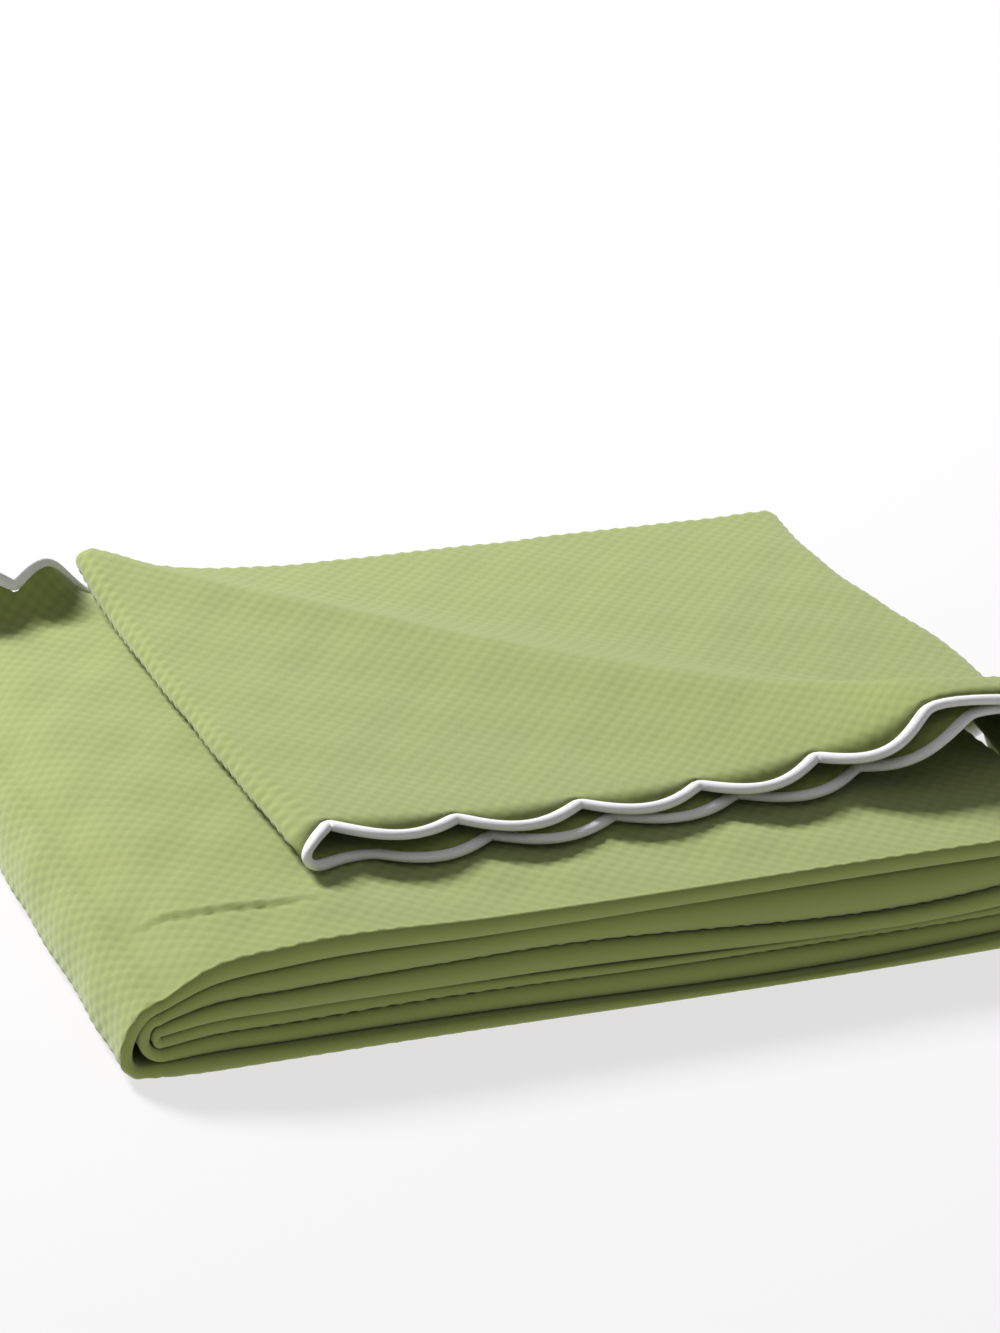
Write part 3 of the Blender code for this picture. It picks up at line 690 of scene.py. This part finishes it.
def flap_piece(material):
    builder = Builder()
    outline, rim = flap_outline()
    order = outline[:, 2].tolist()
    sides = []
    for face, step, columns in FLAP_FACES:
        stations = flap_stations(step)
        shares = np.linspace(0, 1, columns)
        front = hem_line(stations) + RIM_INSET
        grid_y = front[:, None] + (flap_back(stations) - front)[:, None] * shares[None, :]
        grid_s = stations[:, None] + 0 * grid_y
        grid = builder.add(*flap_surface(grid_s, grid_y, face))
        builder.quads(grid)
        fine = builder.add(*flap_surface(rim[:, 0], rim[:, 1], face))
        edge = builder.add(*flap_surface(outline[:, 0], outline[:, 1], face))
        coarse = grid[:, 0].tolist() + grid[-1, 1:].tolist()
        coarse_order = stations.tolist() + (6 + grid_y[-1, 1:]).tolist()
        builder.zip_rows(coarse, coarse_order, fine.tolist(), order)
        builder.quads(np.stack((fine, edge)))
        start = [edge[0], fine[0]] + grid[0].tolist()
        start_order = [0.0, 0.001] + grid_y[0].tolist()
        back = grid[:, -1].tolist() + [fine[-1], edge[-1]]
        back_order = stations.tolist() + [8.0, 9.0]
        sides.append((edge, start, start_order, back, back_order))
    outer, inner = sides
    builder.quads(np.stack((outer[0], inner[0])))
    builder.zip_rows(outer[1], outer[2], inner[1], inner[2])
    builder.zip_rows(outer[3], outer[4], inner[3], inner[4])
    return builder.make("flap_cloth", material)


def beside(edge, normals, distance):
    """Move a line of points outwards in the cloth's own surface, rounded at the cusps."""
    before = np.diff(edge, axis=0, prepend=2 * edge[:1] - edge[1:2])
    after = np.diff(edge, axis=0, append=2 * edge[-1:] - edge[-2:-1])
    before /= np.linalg.norm(before, axis=1)[:, None]
    after /= np.linalg.norm(after, axis=1)[:, None]
    tangents = before + after
    tangents /= np.linalg.norm(tangents, axis=1)[:, None]
    outward = np.cross(tangents, normals)
    outward /= np.linalg.norm(outward, axis=1)[:, None]
    return edge + outward * distance, outward


def smooth_line(line, times):
    for _ in range(times):
        line[1:-1] = (line[:-2] + 2 * line[1:-1] + line[2:]) / 4
    return line


def piping_piece(name, edge, normals, material):
    """A cord in its folded strip, drawn as one oval roll beside the hem, wider in the cloth's plane than
    across it.
    """
    builder = Builder()
    path, outward = beside(edge, normals, PIPING_RADIUS + SEAM_GAP)
    path = smooth_line(path, SMOOTH_TIMES)
    tangents = np.gradient(path, axis=0)
    tangents /= np.linalg.norm(tangents, axis=1)[:, None]
    outward = smooth_line(outward, SMOOTH_TIMES)
    outward -= tangents * np.sum(outward * tangents, axis=1)[:, None]
    outward /= np.linalg.norm(outward, axis=1)[:, None]
    up = np.cross(outward, tangents)
    lengths = np.concatenate(([0.0], np.cumsum(np.linalg.norm(np.diff(path, axis=0), axis=1))))
    angles = 2 * pi * np.arange(PIPING_SIDES) / PIPING_SIDES
    swell = (1 + PIPING_SWELL * np.sin(lengths / PIPING_SWELL_LENGTH))[:, None]
    ring_out = BINDING_WIDTH / 2 * swell * np.cos(angles)[None, :]
    ring_up = BINDING_THICKNESS / 2 * swell * np.sin(angles)[None, :]
    ring = ring_out[..., None] * outward[:, None, :] + ring_up[..., None] * up[:, None, :]
    flat = np.stack(np.broadcast_arrays(lengths[:, None], PIPING_RADIUS * angles[None, :]), axis=-1)
    close_ring(builder, builder.add(path[:, None, :] + ring, flat))
    return builder.make(name, material)


def flap_piping(material):
    outline = flap_outline()[0][PIPING_SKIP:]
    return piping_piece("flap_piping", flap_point(outline[:, 0], outline[:, 1]),
                        flap_normal(outline[:, 0], outline[:, 1]), material)


def back_piping(material):
    x = np.arange(BACK_HEM_RISE[1], BACK_PIPING_END, SCALLOP_PITCH / SCALLOP_STEPS)
    run = {
        "x": x, "z": band_centre(1, x), "thick": band_height(1, x) - BAND_GAP, "top": 0 * x + 1,
    }
    y, offset, tilt = plus_frame(run, back_edge(run))
    edge = np.stack((x, y, run["z"] + offset), axis=-1)
    normals = np.stack((0 * x, np.sin(tilt), -np.cos(tilt)), axis=-1)
    return piping_piece("back_piping", edge, normals, material)


# Materials

def node(tree, kind, **inputs):
    made = tree.nodes.new(kind)
    for key, value in inputs.items():
        made.inputs[key.replace("_", " ")].default_value = value
    return made


def calc(tree, operation, first, second=None):
    """A Math node on one or two values or outputs, as its output."""
    made = tree.nodes.new("ShaderNodeMath")
    made.operation = operation
    for k, value in enumerate((first, second)):
        if value is None:
            continue
        if isinstance(value, (int, float)):
            made.inputs[k].default_value = value
        else:
            tree.links.new(value, made.inputs[k])
    return made.outputs[0]


def mix(tree, factor, first, second):
    made = tree.nodes.new("ShaderNodeMix")
    made.data_type = "RGBA"
    for name, value in (("Factor", factor), ("A", first), ("B", second)):
        kind = "VALUE" if name == "Factor" else "RGBA"
        socket = [s for s in made.inputs if s.name == name and s.type == kind][0]
        if isinstance(value, (tuple, float, int)):
            socket.default_value = value
        else:
            tree.links.new(value, socket)
    return [s for s in made.outputs if s.type == "RGBA"][0]


def flat_coordinates(tree):
    """The cloth's flat coordinates, as a vector and as lengths along and across."""
    uv = tree.nodes.new("ShaderNodeUVMap")
    uv.uv_map = "flat"
    split = tree.nodes.new("ShaderNodeSeparateXYZ")
    tree.links.new(uv.outputs[0], split.inputs[0])
    return uv.outputs[0], split.outputs[0], split.outputs[1]


def wave(tree, operation, length, period):
    return calc(tree, operation, calc(tree, "MULTIPLY", length, 2 * pi / (period * UV_SCALE)))


def crossed_waves(tree, operation, along, across, periods):
    """A wave along the cloth times one across it."""
    first = wave(tree, operation, along, periods[0])
    return calc(tree, "MULTIPLY", first, wave(tree, operation, across, periods[1]))


def noise(tree, vector, scale, detail, roughness):
    made = node(tree, "ShaderNodeTexNoise", Scale=scale, Detail=detail, Roughness=roughness)
    tree.links.new(vector, made.inputs["Vector"])
    return made.outputs["Fac"]


def fine_bump(tree, shader, height, strength, distance):
    bump = node(tree, "ShaderNodeBump", Strength=strength, Distance=distance)
    tree.links.new(height, bump.inputs["Height"])
    tree.links.new(bump.outputs[0], shader.inputs["Normal"])


def new_material(name):
    material = bpy.data.materials.new(name)
    material.use_nodes = True
    return material, material.node_tree, material.node_tree.nodes["Principled BSDF"]


def green_cloth():
    """Green cotton with painted light on its raised diamonds and painted shade in the grooves between them,
    a little cloudy and speckled, with fine threads.
    """
    material, tree, shader = new_material("green_matelasse")
    flat, along, across = flat_coordinates(tree)
    height = crossed_waves(tree, "COSINE", along, across, (DIAMOND_U, DIAMOND_V))
    past_front = calc(tree, "SUBTRACT", across, PAINTED_SHADE_START * UV_SCALE)
    calm = calc(tree, "MULTIPLY", past_front, 1 / (PAINTED_SHADE_FADE * UV_SCALE))
    calm.node.use_clamp = True
    # Painted shade in the grooves and painted light on the raised diamonds, which fade in behind a front
    # fold
    raised = calc(tree, "MULTIPLY_ADD", calc(tree, "MULTIPLY", height, calm), 0.5)
    raised.node.inputs[2].default_value = 0.5
    cloudy = noise(tree, flat, 1.1, 3.0, 0.55)
    specks = noise(tree, flat, 95.0, 2.0, 0.6)
    painted_diamond_shade = mix(tree, raised, CLOTH_GROOVE_PAINTED_SHADE, CLOTH_RAISED_PAINTED_LIGHT)
    toned = mix(tree, calc(tree, "MULTIPLY", cloudy, 0.35), painted_diamond_shade, CLOTH_CLOUD)
    speckled = mix(tree, calc(tree, "MULTIPLY", specks, 0.16), toned, CLOTH_SPECK)
    tree.links.new(speckled, shader.inputs["Base Color"])
    threads = crossed_waves(tree, "SINE", along, across, (THREAD_U, THREAD_V))
    fine = calc(tree, "ADD", calc(tree, "MULTIPLY", threads, 0.5), specks)
    fine_bump(tree, shader, fine, 0.35, 0.22 * MM)
    shader.inputs["Roughness"].default_value = 0.92
    shader.inputs["Specular IOR Level"].default_value = 0.25
    shader.inputs["Sheen Weight"].default_value = 0.4
    shader.inputs["Sheen Roughness"].default_value = 0.5
    shader.inputs["Sheen Tint"].default_value = CLOTH_SHEEN
    return material


def white_cloth():
    """White cotton with fine threads."""
    material, tree, shader = new_material("white_piping_cloth")
    flat, along, across = flat_coordinates(tree)
    threads = crossed_waves(tree, "SINE", along, across, (THREAD_V, THREAD_V))
    specks = noise(tree, flat, 60.0, 3.0, 0.6)
    colour = mix(tree, calc(tree, "MULTIPLY", specks, 0.5), PIPING_LIGHT, PIPING_SHADE)
    tree.links.new(colour, shader.inputs["Base Color"])
    fine_bump(tree, shader, calc(tree, "ADD", threads, specks), 0.3, 0.2 * MM)
    shader.inputs["Roughness"].default_value = 0.85
    shader.inputs["Specular IOR Level"].default_value = 0.3
    shader.inputs["Sheen Weight"].default_value = 0.15
    return material


# Pieces

green, white = green_cloth(), white_cloth()

bands = strip(
    panel(4, -1, BAND_STEP), left_turn(4, 3, 10), panel(3, 1, BAND_STEP), right_turn(3, 2, 12),
    panel(2, -1, BAND_STEP), left_turn(2, 5, 18), panel(5, 1, BAND_STEP), right_turn(5, 6, 12),
)
folded_bands = strip_piece("folded_bands", bands, np.array(BAND_ROWS), 3, False, green)

wrap = strip(panel(6, -1, BAND_STEP), left_turn(6, 1, 40), panel(1, 1, FINE_STEP))
top_wrap = strip_piece("top_wrap", wrap, np.linspace(0, 1, TOP_ROWS), 12, True, green)

flap_cloth = flap_piece(green)
hem_cord = flap_piping(white)
back_cord = back_piping(white)

for piece in (folded_bands, top_wrap, flap_cloth):
    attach(piece, "root")
for piece in (hem_cord, back_cord):
    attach(piece, "root")
for piece in (folded_bands, top_wrap, flap_cloth):
    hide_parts("coverlet")
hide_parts("flap_hem_piping")
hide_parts("back_hem_piping")


# Floor, light and camera

def floor():
    bpy.ops.mesh.primitive_plane_add(size=FLOOR_SIZE, location=(0, 0, 0))
    plane = bpy.context.object
    plane.name = "floor"
    material, _, shader = new_material("pale_floor")
    shader.inputs["Base Color"].default_value = FLOOR_COLOUR
    shader.inputs["Emission Color"].default_value = FLOOR_GLOW
    shader.inputs["Emission Strength"].default_value = FLOOR_GLOW_STRENGTH
    shader.inputs["Roughness"].default_value = 0.9
    shader.inputs["Specular IOR Level"].default_value = 0.1
    plane.data.materials.append(material)


def area_light(name, place, target, size, power):
    data = bpy.data.lights.new(name, "AREA")
    data.shape = "DISK"
    data.size = size
    data.energy = power
    lamp = bpy.data.objects.new(name, data)
    bpy.context.scene.collection.objects.link(lamp)
    lamp.location = place
    aim = np.array(target, dtype=float) - np.array(place, dtype=float)
    lamp.rotation_euler = Vector(aim).to_track_quat("-Z", "Y").to_euler()


floor()
world = bpy.data.worlds.new("studio")
bpy.context.scene.world = world
world.use_nodes = True
world.node_tree.nodes["Background"].inputs["Color"].default_value = (1.0, 1.0, 1.0, 1)
world.node_tree.nodes["Background"].inputs["Strength"].default_value = WORLD_STRENGTH
area_light("key", KEY_PLACE, (0.0, 0.0, 0.0), KEY_SIZE, KEY_POWER)
bpy.context.scene.view_settings.view_transform = "Standard"

camera_data = bpy.data.cameras.new("camera")
camera_data.sensor_width = SENSOR
camera_data.lens = CAMERA_LENS
camera_data.clip_end = 30
camera = bpy.data.objects.new("camera", camera_data)
bpy.context.scene.collection.objects.link(camera)
camera.location = CAMERA_PLACE
camera.rotation_euler = (radians(90 - CAMERA_DOWN), 0, radians(-CAMERA_RIGHT))
bpy.context.scene.camera = camera
